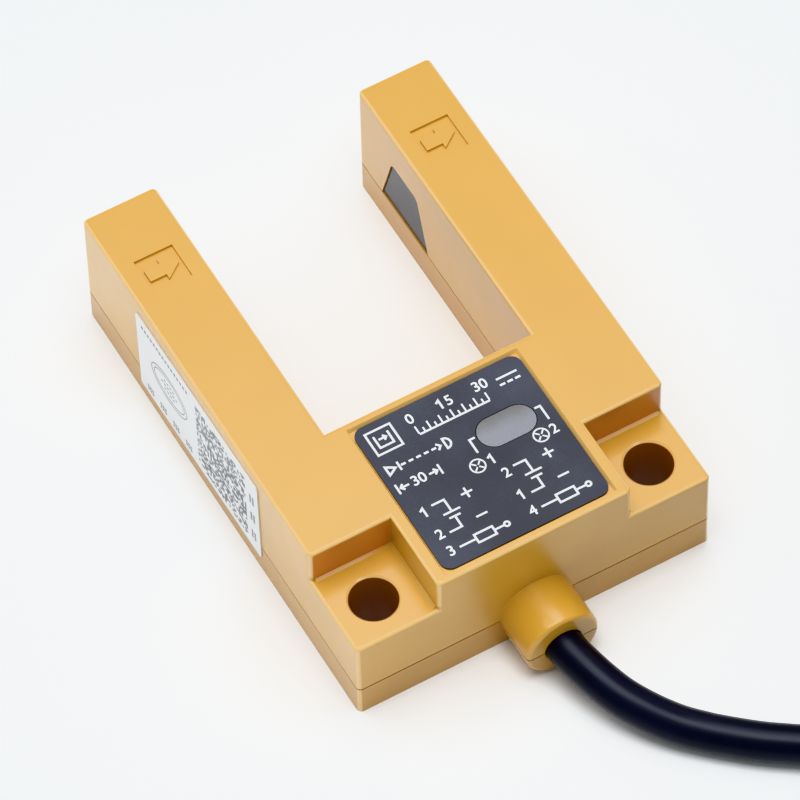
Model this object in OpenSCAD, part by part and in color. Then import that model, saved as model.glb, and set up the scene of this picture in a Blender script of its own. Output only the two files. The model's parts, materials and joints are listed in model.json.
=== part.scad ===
// Fork sensor: a U-shaped slot photoelectric sensor with a moulded case and a fixed cable.
// Millimetres. +Z is up, +Y points to the tine tips and X runs across the slot.
// The origin lies midway between the two mounting holes, on the base plane.

/* [Case] */
// Clear width of the sensing slot
slot_w = 30; // [26:0.5:40]
// Depth of the sensing slot, from the tine tips
slot_l = 44.4; // [38:0.2:60]
// Width of each tine
tine_w = 10.7; // [10.3:0.1:14]
// Length of the body behind the slot
body_l = 26.9; // [25.8:0.1:34]
// Height of the closed case
case_h = 20.6; // [19:0.1:26]
// Height of the base cover, up to the split line
cover_h = 5.3; // [5.2:0.1:6.2]
// Thickness of the side walls
wall = 1.8; // [1.4:0.1:2]
// Thickness of the top wall
top_wall = 2.2; // [1.8:0.1:3]
// Thickness of the floor of the base cover
floor_t = 1.6; // [1.2:0.1:2]
// Radius of the upright corners
corner_r = 0.7; // [0.7:0.1:1.6]
// Radius of the top edges
edge_r = 0.5; // [0.3:0.1:0.7]
// Height of the groove along the split line
seam_h = 0.2; // [0.1:0.05:0.5]
// Depth of the groove along the split line
seam_d = 0.3; // [0.1:0.05:0.5]

/* [Mounting] */
// Distance between the mounting holes
hole_spacing = 40; // [38:0.5:46]
// Diameter of the mounting holes
hole_d = 6.4; // [4:0.1:7]
// Distance from the back face to the hole line
hole_inset = 5.8; // [5:0.1:6.5]
// Width of the bevel round the top of the mounting holes
hole_edge = 0.3; // [0.1:0.05:0.6]
// Length of the ear recesses, from the back face
ear_l = 11.8; // [10.5:0.1:12.6]
// Height of the ears above the base plane
ear_h = 14.6; // [10:0.1:17]
// Width of the bevel where the ears meet the walls
ear_cove = 0.35; // [0.1:0.05:0.8]
// Width of the centre block between the ears
block_w = 28; // [27:0.1:30]

/* [Label and lights] */
// Side of the floor of the square label recess
recess_w = 24.3; // [22:0.1:25]
// Depth of the label recess
recess_d = 0.6; // [0.4:0.05:0.8]
// How far the walls of the label recess lean outwards
recess_lean = 0.3; // [0.1:0.05:0.5]
// Gap around the label in its recess
label_gap = 0.1; // [0.05:0.05:0.8]
// Thickness of the label
label_t = 0.3; // [0.1:0.05:0.4]
// Corner radius of the label
label_r = 1.5; // [0.5:0.1:3]
// Length of the oval indicator window
lens_w = 8.3; // [7.6:0.1:9]
// Width of the oval indicator window
lens_l = 4.7; // [4.3:0.1:5.2]
// Place of the indicator window across the label, from its middle
lens_x = 5.45; // [4.5:0.05:6]
// Place of the indicator window along the label, from its middle
lens_y = 3.05; // [2:0.05:4]
// Distance between the two indicator lights
light_pitch = 4; // [3.9:0.05:4.4]
// Diameter of an indicator light
light_d = 3; // [2:0.1:3.1]
// Height of an indicator light
light_h = 5.3; // [4:0.1:6]

/* [Beam] */
// Distance of the light beam from the tine tips
beam_inset = 12; // [11.2:0.1:16]
// Height of the light beam above the base plane
beam_z = 9.6; // [8.8:0.1:11]
// Width of a beam window at the split line
window_base_w = 12.1; // [9:0.1:12.6]
// Width of a beam window at its top
window_top_w = 6.5; // [5:0.1:8]
// Height of a beam window above the split line
window_h = 9.3; // [7.8:0.1:10.5]
// Radius of the top corners of a beam window
window_r = 1.2; // [0.4:0.1:2]
// Depth of a beam window below the slot wall
window_recess = 0.2; // [0.1:0.05:0.9]
// Side of the square beam mark on each tine
mark_w = 5.6; // [4:0.1:7]
// Depth of the beam mark
mark_d = 0.4; // [0.1:0.05:0.6]

/* [Cable] */
// Diameter of the cable
cable_d = 5.2; // [4:0.1:5.6]
// Diameter of the cable boss
boss_d = 10.4; // [8.6:0.1:10.6]
// Length of the cable boss
boss_l = 7; // [5:0.1:10]
// Radius of the front edge of the cable boss
boss_edge_r = 0.6; // [0.4:0.1:1.2]
// Diameter of the crimped collar on the cable
clamp_d = 7.2; // [6.8:0.1:7.3]
// Length of the crimped collar
clamp_l = 3; // [2:0.1:3.4]
// Diameter of a cable core
core_d = 1.2; // [0.9:0.05:1.4]

/* [Board and screws] */
// Thickness of the circuit board
board_t = 1.6; // [1:0.1:1.6]
// Height of the board's underside above the base plane
board_z = 3.2; // [2.6:0.1:3.2]
// Gap between the board and the walls
board_gap = 0.5; // [0.3:0.05:0.8]
// Diameter of the bosses for the cover screws
screw_boss_d = 5.2; // [4.6:0.1:5.6]
// Diameter of a cover screw
screw_d = 2.2; // [1.6:0.1:2.6]
// Diameter of a cover screw's head
screw_head_d = 4.2; // [3.4:0.1:4.3]
// Length of a cover screw
screw_l = 12; // [9:0.5:14]
// Diameter of a board screw
board_screw_d = 1.8; // [1.4:0.1:2]
// Radial clearance between parts that fit together
fit = 0.1; // [0.05:0.01:0.15]

/* [Hidden] */
$fn = 48;
// Overlap used so that cuts run clear of faces
over = 0.5;

// Outline of the fork
fork_w = slot_w + 2 * tine_w;
back_y = -hole_inset;
slot_y = back_y + body_l;
tip_y = slot_y + slot_l;
ear_y = back_y + ear_l;
tine_x = (slot_w + tine_w) / 2;
ceiling_z = case_h - top_wall;

// Label, lens and lights
label_y = back_y + body_l / 2;
label_w = recess_w - 2 * label_gap;
recess_z = case_h - recess_d;
lens_at = [lens_x, label_y + lens_y];
lens_flange_w = 0.8;
lens_flange_t = 0.8;
light_gap = 0.4;
light_z = ceiling_z - lens_flange_t - light_gap - light_h;
light_rim = 0.4;
light_rim_h = 1;
light_lead_pitch = 2.5;
light_lead_w = 0.5;
holder_side = 0.3;
holder_r = 0.6;

// Arrow in the beam mark
mark_margin = 0.5;
arrow_shaft_w = 1.9;
arrow_head_w = 3.4;

// Beam windows and the packages behind them
beam_y = tip_y - beam_inset;
pane_flange_w = 0.8;
pane_flange_t = 0.8;
package_gap = 0.3;
package_t = 1.6;
package_w = 4.4;
package_h = 5.2;
dome_r = 1.1;
package_lead_w = 0.5;
package_lead_pitch = 2.5;
package_x = slot_w / 2 + wall + pane_flange_t + package_gap + dome_r;

// Cable, collar and cores
clamp_y = back_y + wall;
sheath_end = 0.3;
sheath_y = clamp_y + clamp_l + sheath_end;
pad_pitch = 3;
core_spread = 0.95;
core_lift = 0.05;
core_out = 0.6;
core_bend = 1.7;
core_run = 2.6;
core_fan = 0.65;
pad_start = 0.6;
pad_l = 1.6;

// Board and its fasteners
board_top = board_z + board_t;
board_back = sheath_y + core_run;
bridge_y = (ear_y + slot_y) / 2;
tip_boss_sink = 1;
tip_screw_y = tip_y - wall - screw_boss_d / 2 + tip_boss_sink;
board_tip_gap = 1.2;
board_tip = tip_screw_y - screw_boss_d / 2 - board_tip_gap;
bridge_screw_in = 2;
bridge_screw_x = slot_w / 2 + bridge_screw_in;
screw_points = [for (s = [-1, 1]) each [[s * bridge_screw_x, bridge_y], [s * tine_x, tip_screw_y]]];
screw_head_h = 1.3;
screw_sink = 0.2;
screw_cross_w = 2.2;
cross_slot = 0.5;
cross_d = 0.6;
board_post_d = 4;
board_screw_inset = 2.2;
board_post_x = block_w / 2 - wall - board_gap - board_screw_inset;
board_screw_in = 3.4;
board_screw_y = board_back + board_screw_in;
leg_post_y = (slot_y + beam_y) / 2;
board_screw_head_d = 3.4;
board_screw_head_h = 1.3;
board_screw_head_r = 0.5;
board_screw_cross_w = 1.8;
board_screw_bite = 1.6;
pilot_spare = 0.4;
lead_hole = 0.25;
tail_l = 0.8;

// Feet of the packages on the board
package_lift = 0.15;
leg_w = 0.4;
leg_t = 0.2;
leg_foot_l = 0.6;
leg_reach = 1;

// Packages on the board: chip and diode behind the slot, the rest in a row on each leg
chip_size = [8.65, 3.9, 1.5];
chip_pitch = 1.27;
chip_legs = 7;
chip_x = -3.6;
chip_at = [chip_x, bridge_y];
diode_size = [4.3, 2.6, 2.2];
diode_tab = [5.2, 1.5, 0.3];
diode_gap = 2.1;
diode_at = [chip_at.x, chip_at.y - (chip_size.y + diode_size.y) / 2 - leg_reach - diode_gap];
leg_row_out = 8;
leg_row_y = slot_y + leg_row_out;
regulator_size = [4.5, 2.5, 1.5];
regulator_pitch = 1.5;
regulator_at = [-tine_x, leg_row_y];
resistor_size = [2, 1.25, 0.5];
resistor_pitch = 2.6;
resistor_count = 5;
resistor_gap = 1.2;
resistors_at = [-tine_x, leg_row_y + (regulator_size.x + resistor_size.y) / 2 + resistor_gap];
can_d = 5;
can_h = 5.4;
can_base = 5.3;
can_base_h = 1;
can_at = [tine_x, leg_row_y];
transistor_size = [2.9, 1.3, 1];
transistor_pitch = 1.9;
transistor_step = 4.6;
npn_at = [tine_x, leg_row_y + (can_base + transistor_size.y) / 2 + leg_reach + resistor_gap];
pnp_at = [tine_x, npn_at.y + transistor_step];

// Sticker on the left face: place along Y and Z, size and slant
sticker_l = 31.9;
sticker_h = 15.6;
sticker_t = 0.15;
sticker_r = 0.5;
sticker_out = 14;
sticker_z = 10.35;
sticker_at = [slot_y + sticker_out, sticker_z];
sticker_slant = -0.9;

// Free cable: a route on the table from the boss to the coil
cable_sides = 12;
cable_exit = [0, back_y - boss_l, cover_h];
cable_route = [
    [0, sheath_y, cover_h],
    [0, back_y, cover_h],
    cable_exit,
    [0.4, -15.6, 5.2],
    [1.4, -19.5, 4.9],
    [2.6, -22.6, 4.4],
    [4.1, -25.2, 3.9],
    [5.7, -27.4, 3.4],
    [7.4, -29.4, 3],
    [9.2, -31.2, 2.8],
    [11, -32.9, 2.7],
    [14.8, -36.2, 2.7],
    [18.8, -39.1, 2.7],
    [28, -45.8, 2.8],
    [38, -52.9, 3],
    [48.5, -59, 3.25],
    [56, -63, 3.25]
];

// Coil of the rest of the cable: three columns of turns held by two ties
coil_at = [72, -33];
coil_r_out = 34;
coil_pitch = 5.3;
coil_columns = 3;
coil_low = 0.65;
coil_h = 22.6;
coil_round = 2.4;
coil_r_in = coil_r_out - (coil_columns - 1) * coil_pitch;
coil_mid = (coil_r_out + coil_r_in) / 2;
coil_half = (coil_r_out - coil_r_in + coil_pitch) / 2;
coil_top = coil_low + coil_h;
coil_entry = cable_route[len(cable_route) - 1];
coil_lead_in = coil_entry - cable_route[len(cable_route) - 2];
coil_heading = atan2(coil_lead_in.y, coil_lead_in.x);
coil_seat_gap = 0.5;
pocket_spare = 4;
tie_w = 3;
tie_t = 0.5;
tie_gap = 0.15;
tie_angles = [0, 180];

// Stripped leads in the pocket where the last turn ends
lead_angle = 39;
lead_sweep = 74;
tip_sweep = 14;
lead_pitch = 1.3;
tip_d = 0.8;
pocket_d = 3.9;
lead_floor = coil_top - pocket_d;

// Colours
case_gold = [0.86, 0.66, 0.33];
label_slate = [0.27, 0.27, 0.33];
lens_grey = [0.6, 0.6, 0.63];
pane_slate = [0.2, 0.2, 0.25];
paper_white = [0.95, 0.95, 0.93];
board_green = [0.1, 0.36, 0.2];
package_black = [0.09, 0.09, 0.1];
metal_grey = [0.75, 0.75, 0.76];
screw_zinc = [0.7, 0.7, 0.68];
cable_black = [0.06, 0.06, 0.07];
core_colours = ["crimson", [0.05, 0.05, 0.05], "gold", "white"];

// Rectangle with four round corners
module soft_rect(x0, x1, y0, y1, r) {
    translate([x0 + r, y0]) square([x1 - x0 - 2 * r, y1 - y0]);
    translate([x0, y0 + r]) square([x1 - x0, y1 - y0 - 2 * r]);
    for (x = [x0 + r, x1 - r], y = [y0 + r, y1 - r]) translate([x, y]) circle(r);
}

// Rectangle with two round corners at the top
module arch_rect(a0, a1, h0, h1, r) {
    translate([a0, h0]) square([a1 - a0, h1 - h0 - r]);
    translate([a0 + r, h0]) square([a1 - a0 - 2 * r, h1 - h0]);
    for (a = [a0 + r, a1 - r]) translate([a, h1 - r]) circle(r);
}

// Round post with a rounded top edge
module soft_post(r, z0, z1, e) {
    rotate_extrude() {
        translate([0, z0]) square([r, z1 - z0 - e]);
        translate([0, z0]) square([r - e, z1 - z0]);
        translate([r - e, z1 - e]) intersection() {
            circle(e);
            square(e);
        }
    }
}

// Bar with round upright corners and rounded top edges
module soft_bar(x0, x1, y0, y1, z0, z1) {
    r = corner_r;
    translate([0, y1 - r, 0]) rotate([90, 0, 0])
        linear_extrude(y1 - y0 - 2 * r) arch_rect(x0, x1, z0, z1, edge_r);
    translate([x0 + r, 0, 0]) rotate([90, 0, 90])
        linear_extrude(x1 - x0 - 2 * r) arch_rect(y0, y1, z0, z1, edge_r);
    for (x = [x0 + r, x1 - r], y = [y0 + r, y1 - r]) translate([x, y, 0]) soft_post(r, z0, z1, edge_r);
}

// Oval with round ends, long side along X
module oval(w, l) {
    square([w - l, l], center = true);
    for (x = [-1, 1]) translate([x * (w - l) / 2, 0]) circle(d = l);
}

// Plan of the fork, drawn in from the faces by an inset
module fork_plan(inset) {
    half = fork_w / 2 - inset;
    r = corner_r - inset;
    soft_rect(-half, half, back_y + inset, slot_y - inset, r);
    for (s = [0, 1]) mirror([s, 0])
        soft_rect(slot_w / 2 + inset, half, back_y + inset, tip_y - inset, r);
}

// Plan of the hollow inside the walls
module cavity_plan() {
    half = fork_w / 2 - wall;
    tongue = block_w / 2 - wall;
    translate([-tongue, back_y + wall]) square([2 * tongue, body_l - 2 * wall]);
    translate([-half, ear_y + wall]) square([2 * half, slot_y - ear_y - 2 * wall]);
    for (s = [0, 1]) mirror([s, 0])
        translate([slot_w / 2 + wall, ear_y + wall]) square([tine_w - 2 * wall, tip_y - ear_y - 2 * wall]);
}

// Bevel in the corner between the floor of an ear and a wall, by its length and how far it enters both
module cove(l, sink) {
    linear_extrude(l) polygon([[-ear_cove - sink, -sink], [sink, -sink], [sink, ear_cove + sink]]);
}

// Bevels along the two walls of the left ear
module ear_coves() {
    sink = wall / 4;
    start = corner_r - fork_w / 2;
    translate([start, ear_y, ear_h]) rotate([90, 0, 90]) cove(sink - block_w / 2 - start, sink);
    translate([-block_w / 2, ear_y + sink, ear_h]) rotate([90, 0, 0]) cove(ear_l + sink - corner_r, sink);
}

// Outer form of the upper case: ears, centre block, bridge and tines
module case_form() {
    half = fork_w / 2;
    soft_bar(-half, half, back_y, slot_y, cover_h, ear_h);
    soft_bar(-block_w / 2, block_w / 2, back_y, slot_y, cover_h, case_h);
    soft_bar(-half, half, ear_y, slot_y, cover_h, case_h);
    soft_bar(-half, -slot_w / 2, ear_y, tip_y, cover_h, case_h);
    soft_bar(slot_w / 2, half, ear_y, tip_y, cover_h, case_h);
    for (s = [0, 1]) mirror([s, 0, 0]) ear_coves();
}

// Half of the cable boss between two heights
module boss_half(z0, z1) {
    intersection() {
        translate([0, back_y, cover_h]) rotate([90, 0, 0])
            soft_post(boss_d / 2, -wall / 2, boss_l, boss_edge_r);
        translate([-boss_d, back_y - boss_l - over, z0]) cube([2 * boss_d, boss_l + wall, z1 - z0]);
    }
}

// Groove of the split line round the cable boss
module boss_seam() {
    front = back_y - boss_l;
    for (x = [-boss_d / 2 - over, boss_d / 2 - seam_d])
        translate([x, front - over, cover_h - seam_h]) cube([seam_d + over, boss_l + over, seam_h + over]);
    translate([-boss_d / 2, front - over, cover_h - seam_h]) cube([boss_d, seam_d + over, seam_h + over]);
}

module cable_bore() {
    translate([0, back_y + wall + over, cover_h]) rotate([90, 0, 0])
        cylinder(d = cable_d + 2 * fit, h = boss_l + wall + 2 * over);
}

module mounting_holes() {
    for (x = [-1, 1]) translate([x * hole_spacing / 2, 0, -over]) cylinder(d = hole_d, h = case_h + 2 * over);
}

// Cones that bevel the mounting holes where they leave the ears
module hole_bevels() {
    for (x = [-1, 1]) translate([x * hole_spacing / 2, 0, ear_h - hole_edge - over])
        cylinder(d1 = hole_d - 2 * over, d2 = hole_d + 2 * (hole_edge + over), h = hole_edge + 2 * over);
}

// Square recess for the label, with walls that lean outwards
module label_recess() {
    low = recess_w / 2;
    top = recess_d + over;
    high = low + recess_lean * top / recess_d;
    section = [[-low, 0], [low, 0], [high, top], [-high, top]];
    translate([0, label_y, recess_z]) intersection() {
        translate([0, high, 0]) rotate([90, 0, 0]) linear_extrude(2 * high) polygon(section);
        translate([-high, 0, 0]) rotate([90, 0, 90]) linear_extrude(2 * high) polygon(section);
    }
}

// Beam window outline: a trapezoid with round top corners, grown by a margin
module window_plan(grow) {
    base = window_base_w / 2 + grow;
    top = window_top_w / 2 + grow;
    high = window_h + grow;
    lean = atan((base - top) / high);
    centre_u = top - window_r * (1 - sin(lean)) / cos(lean);
    centre_v = high - window_r;
    touch_u = centre_u + window_r * cos(lean);
    touch_v = centre_v + window_r * sin(lean);
    polygon([
        [-base, 0], [base, 0], [touch_u, touch_v], [centre_u, high], [-centre_u, high], [-touch_u, touch_v]
    ]);
    for (u = [-centre_u, centre_u]) translate([u, centre_v]) circle(window_r);
}

// Beam window outline as a plate across the right tine, between two distances from the middle
module window_plate(x0, x1, grow) {
    translate([x0, beam_y, cover_h]) rotate([90, 0, 90]) linear_extrude(x1 - x0) window_plan(grow);
}

// Arrow that points along +X, as raised in the beam mark
module arrow_plan() {
    tail = mark_margin - mark_w / 2;
    tip = mark_w / 2 - mark_margin;
    shaft = arrow_shaft_w / 2;
    barb = arrow_head_w / 2;
    polygon([[tail, -shaft], [0, -shaft], [0, -barb], [tip, 0], [0, barb], [0, shaft], [tail, shaft]]);
}

module beam_mark() {
    translate([0, 0, case_h - mark_d]) linear_extrude(mark_d + over) difference() {
        square(mark_w, center = true);
        arrow_plan();
    }
}

module upper_case() color(case_gold) difference() {
    union() {
        difference() {
            union() {
                case_form();
                boss_half(cover_h, case_h);
            }
            translate([0, 0, cover_h - over]) linear_extrude(ceiling_z - cover_h + over) cavity_plan();
        }
        for (p = screw_points) translate([p.x, p.y, cover_h])
            cylinder(d = screw_boss_d, h = ceiling_z - cover_h + over);
    }
    mounting_holes();
    hole_bevels();
    cable_bore();
    for (p = screw_points) translate([p.x, p.y, cover_h - over])
        cylinder(d = screw_d + 2 * fit, h = screw_l - cover_h + 2 * over);
    label_recess();
    translate([lens_at.x, lens_at.y, ceiling_z - over])
        linear_extrude(top_wall + 2 * over) oval(lens_w, lens_l);
    for (s = [0, 1]) mirror([s, 0, 0]) window_plate(slot_w / 2 - over, slot_w / 2 + wall + over, 0);
    for (x = [-tine_x, tine_x]) translate([x, beam_y, 0]) beam_mark();
}

module base_cover() color(case_gold) difference() {
    union() {
        difference() {
            union() {
                linear_extrude(cover_h - seam_h) fork_plan(0);
                linear_extrude(cover_h) fork_plan(seam_d);
                boss_half(0, cover_h);
            }
            translate([0, 0, floor_t]) linear_extrude(cover_h) cavity_plan();
            boss_seam();
        }
        for (p = screw_points) translate([p.x, p.y, 0]) cylinder(d = screw_boss_d, h = cover_h);
        for (x = [-1, 1]) {
            translate([x * board_post_x, board_screw_y, 0]) cylinder(d = board_post_d, h = board_z);
            translate([x * tine_x, leg_post_y, 0]) cylinder(d = board_post_d, h = board_z);
        }
    }
    mounting_holes();
    cable_bore();
    for (p = screw_points) translate([p.x, p.y, 0]) {
        translate([0, 0, -over]) cylinder(d = screw_head_d + 2 * fit, h = screw_sink + over);
        translate([0, 0, screw_sink])
            cylinder(d1 = screw_head_d + 2 * fit, d2 = screw_d + 2 * fit, h = screw_head_h);
        cylinder(d = screw_d + 2 * fit, h = cover_h + over);
    }
    for (x = [-1, 1]) translate([x * board_post_x, board_screw_y, board_z - board_screw_bite - pilot_spare])
        cylinder(d = board_screw_d + 2 * fit, h = board_screw_bite + pilot_spare + over);
}

module front_label() color(label_slate) translate([0, label_y, recess_z])
    linear_extrude(label_t) difference() {
        soft_rect(-label_w / 2, label_w / 2, -label_w / 2, label_w / 2, label_r);
        translate([lens_x, lens_y]) oval(lens_w, lens_l);
    }

module indicator_window() color(lens_grey) translate([lens_at.x, lens_at.y, ceiling_z]) {
    linear_extrude(recess_z + label_t - ceiling_z) oval(lens_w - 2 * fit, lens_l - 2 * fit);
    translate([0, 0, -lens_flange_t]) linear_extrude(lens_flange_t)
        oval(lens_w + 2 * lens_flange_w, lens_l + 2 * lens_flange_w);
}

// Pane in the wall of the right tine, with a flange behind the wall
module beam_window() {
    seat = slot_w / 2 + wall;
    window_plate(slot_w / 2 + window_recess, seat + pane_flange_t, -fit);
    window_plate(seat, seat + pane_flange_t, pane_flange_w);
}

module emitter_window() color(pane_slate) mirror([1, 0, 0]) beam_window();

module receiver_window() color(pane_slate) beam_window();

module side_sticker() color(paper_white)
    translate([-fork_w / 2 - sticker_t, sticker_at.x, sticker_at.y]) rotate([90, 0, 90])
        linear_extrude(sticker_t) rotate(sticker_slant)
            soft_rect(-sticker_l / 2, sticker_l / 2, -sticker_h / 2, sticker_h / 2, sticker_r);

// Plan of the board: tongue, bridge and two legs
module board_plan() {
    inset = wall + board_gap;
    half = fork_w / 2 - inset;
    tongue = block_w / 2 - inset;
    leg = slot_w / 2 + inset;
    rear = ear_y + inset;
    front = slot_y - inset;
    right = [
        [tongue, board_back], [tongue, rear], [half, rear], [half, board_tip], [leg, board_tip], [leg, front]
    ];
    left = [for (i = [len(right) - 1:-1:0]) [-right[i].x, right[i].y]];
    polygon(concat(right, left));
}

// Places of the lead holes of the lights, from the middle of the lens
light_leads = [for (x = [-1, 1], y = [-1, 1]) [x * light_pitch / 2, y * light_lead_pitch / 2]];

module circuit_board() color(board_green) translate([0, 0, board_z]) linear_extrude(board_t) difference() {
    board_plan();
    for (x = [-1, 1]) {
        translate([x * bridge_screw_x, bridge_y]) circle(d = screw_boss_d + 2 * board_gap);
        translate([x * board_post_x, board_screw_y]) circle(d = board_screw_d + 2 * fit);
        for (y = [-1, 1]) translate([x * (package_x + package_t / 2), beam_y + y * package_lead_pitch / 2])
            circle(d = package_lead_w + 2 * lead_hole);
    }
    for (p = light_leads) translate([lens_at.x + p.x, lens_at.y + p.y])
        circle(d = light_lead_w + 2 * lead_hole);
}

// Side-looking package on the right leg: body, round lens towards the slot, two leads
module side_looker() {
    translate([package_x, beam_y - package_w / 2, beam_z - package_h / 2])
        cube([package_t, package_w, package_h]);
    translate([package_x, beam_y, beam_z]) sphere(dome_r);
    for (y = [-1, 1])
        translate([package_x + package_t / 2, beam_y + y * package_lead_pitch / 2, board_z - tail_l])
            translate([-package_lead_w / 2, -package_lead_w / 2, 0])
                cube([package_lead_w, package_lead_w, beam_z - board_z + tail_l]);
}

module emitter_led() color([0.55, 0.6, 0.75]) mirror([1, 0, 0]) side_looker();

module photodiode() color([0.16, 0.12, 0.16]) side_looker();

// Block on the board that the two lights stand on
module led_holder() color(package_black) translate([lens_at.x, lens_at.y, board_top]) difference() {
    w = light_pitch + light_d + 2 * (light_rim + holder_side);
    l = light_d + 2 * (light_rim + holder_side);
    linear_extrude(light_z - board_top) soft_rect(-w / 2, w / 2, -l / 2, l / 2, holder_r);
    for (p = light_leads) translate([p.x, p.y, -over])
        cylinder(d = light_lead_w + 2 * lead_hole, h = light_z - board_top + 2 * over);
}

// Round light with a rim at its foot and two square leads
module light(side) {
    translate([lens_at.x + side * light_pitch / 2, lens_at.y, light_z]) {
        cylinder(d = light_d, h = light_h - light_d / 2);
        translate([0, 0, light_h - light_d / 2]) sphere(d = light_d);
        cylinder(d = light_d + 2 * light_rim, h = light_rim_h);
        for (y = [-1, 1]) translate([-light_lead_w / 2, (y * light_lead_pitch - light_lead_w) / 2, 0])
            translate([0, 0, board_z - tail_l - light_z])
                cube([light_lead_w, light_lead_w, light_z - board_z + tail_l + light_rim_h / 2]);
    }
}

module power_led() color("red") light(-1);

module switch_led() color("limegreen") light(1);

// Flat package with rows of legs on both long sides
module leaded_package(size, pitch, legs_front, legs_back) {
    step = leg_reach - leg_foot_l;
    shoulder = size.z / 2 + package_lift;
    translate([-size.x / 2, -size.y / 2, package_lift]) cube([size.x, size.y, size.z]);
    for (s = [-1, 1]) {
        count = s < 0 ? legs_front : legs_back;
        for (k = [0:count - 1]) translate([(k - (count - 1) / 2) * pitch - leg_w / 2, s * size.y / 2, 0])
            mirror([0, s < 0 ? 1 : 0, 0]) {
                translate([0, step, 0]) cube([leg_w, leg_foot_l, leg_t]);
                translate([0, step, 0]) cube([leg_w, leg_t, shoulder]);
                translate([0, -leg_t, shoulder - leg_t]) cube([leg_w, step + 2 * leg_t, leg_t]);
            }
    }
}

module control_chip() color(package_black) translate([chip_at.x, chip_at.y, board_top])
    leaded_package(chip_size, chip_pitch, chip_legs, chip_legs);

module voltage_regulator() color(package_black) translate([regulator_at.x, regulator_at.y, board_top])
    rotate(90) leaded_package(regulator_size, regulator_pitch, 3, 1);

module npn_transistor() color(package_black) translate([npn_at.x, npn_at.y, board_top])
    leaded_package(transistor_size, transistor_pitch, 2, 1);

module pnp_transistor() color(package_black) translate([pnp_at.x, pnp_at.y, board_top])
    leaded_package(transistor_size, transistor_pitch, 2, 1);

// Round can on a square foot
module filter_capacitor() color(metal_grey) translate([can_at.x, can_at.y, board_top]) {
    translate([-can_base / 2, -can_base / 2, 0]) cube([can_base, can_base, can_base_h]);
    cylinder(d = can_d, h = can_h);
}

module protection_diode() color(package_black) translate([diode_at.x, diode_at.y, board_top]) {
    translate([-diode_tab.x / 2, -diode_tab.y / 2, 0]) cube(diode_tab);
    translate([-diode_size.x / 2, -diode_size.y / 2, package_lift])
        cube([diode_size.x, diode_size.y, diode_size.z - package_lift]);
}

module chip_resistors() color(package_black) for (k = [0:resistor_count - 1])
    translate([resistors_at.x, resistors_at.y + k * resistor_pitch, board_top])
        translate([-resistor_size.x / 2, -resistor_size.y / 2, 0]) cube(resistor_size);

// Cross recess in a screw head that faces up
module cross_recess(w) {
    for (a = [0, 90]) rotate(a)
        translate([-w / 2, -cross_slot / 2, -cross_d]) cube([w, cross_slot, cross_d + over]);
}

module board_screws() color(screw_zinc) for (x = [-1, 1])
    translate([x * board_post_x, board_screw_y, board_top]) difference() {
        union() {
            soft_post(board_screw_head_d / 2, 0, board_screw_head_h, board_screw_head_r);
            translate([0, 0, -board_t - board_screw_bite])
                cylinder(d = board_screw_d, h = board_t + board_screw_bite + board_screw_head_h / 2);
        }
        translate([0, 0, board_screw_head_h]) cross_recess(board_screw_cross_w);
    }

module cover_screws() color(screw_zinc) for (p = screw_points)
    translate([p.x, p.y, screw_sink]) difference() {
        union() {
            cylinder(d1 = screw_head_d, d2 = screw_d, h = screw_head_h);
            cylinder(d = screw_d, h = screw_l - screw_sink);
        }
        mirror([0, 0, 1]) cross_recess(screw_cross_w);
    }

module cable_clamp() color(metal_grey) translate([0, clamp_y + clamp_l, cover_h]) rotate([90, 0, 0])
    difference() {
        cylinder(d = clamp_d, h = clamp_l);
        translate([0, 0, -over]) cylinder(d = cable_d + 2 * fit, h = clamp_l + 2 * over);
    }

// Round tube swept along a path of points
function unit(v) = v / norm(v);
function heading(path, i) = unit(path[min(i + 1, len(path) - 1)] - path[max(i - 1, 0)]);
function ring(p, t, r, n) =
    let (side = unit(cross(t, [0, 0, 1])), up = cross(side, t))
    [for (k = [0:n - 1]) p + r * (cos(360 * k / n) * side + sin(360 * k / n) * up)];

module tube(path, d, n) {
    last = len(path) - 1;
    points = [for (i = [0:last]) each ring(path[i], heading(path, i), d / 2, n)];
    sides = [for (i = [0:last - 1], k = [0:n - 1])
        [i * n + k, i * n + (k + 1) % n, (i + 1) * n + (k + 1) % n, (i + 1) * n + k]];
    start = [for (k = [n - 1:-1:0]) k];
    end = [for (k = [0:n - 1]) last * n + k];
    polyhedron(points, concat([start], sides, [end]));
}

// Core number k, from the cut end of the sheath to its pad on the board
function core_path(k) =
    let (
        pad_x = (k - 1.5) * pad_pitch,
        from_x = (k < 2 ? -1 : 1) * core_spread,
        from_z = cover_h + (k == 0 || k == 3 ? 1 : -1) * core_spread,
        pad_z = board_top + core_d / 2 + core_lift
    )
    [
        [from_x, sheath_y, from_z],
        [from_x, sheath_y + core_out, from_z],
        [from_x + (pad_x - from_x) * core_fan, sheath_y + core_bend, max(pad_z, from_z)],
        [pad_x, board_back + pad_start, pad_z],
        [pad_x, board_back + pad_start + pad_l, pad_z]
    ];

module core(k) color(core_colours[k]) tube(core_path(k), core_d, 8);

module core_red() core(0);

module core_black() core(1);

module core_yellow() core(2);

module core_white() core(3);

module cable() color(cable_black) tube(cable_route, cable_d, cable_sides);

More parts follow.
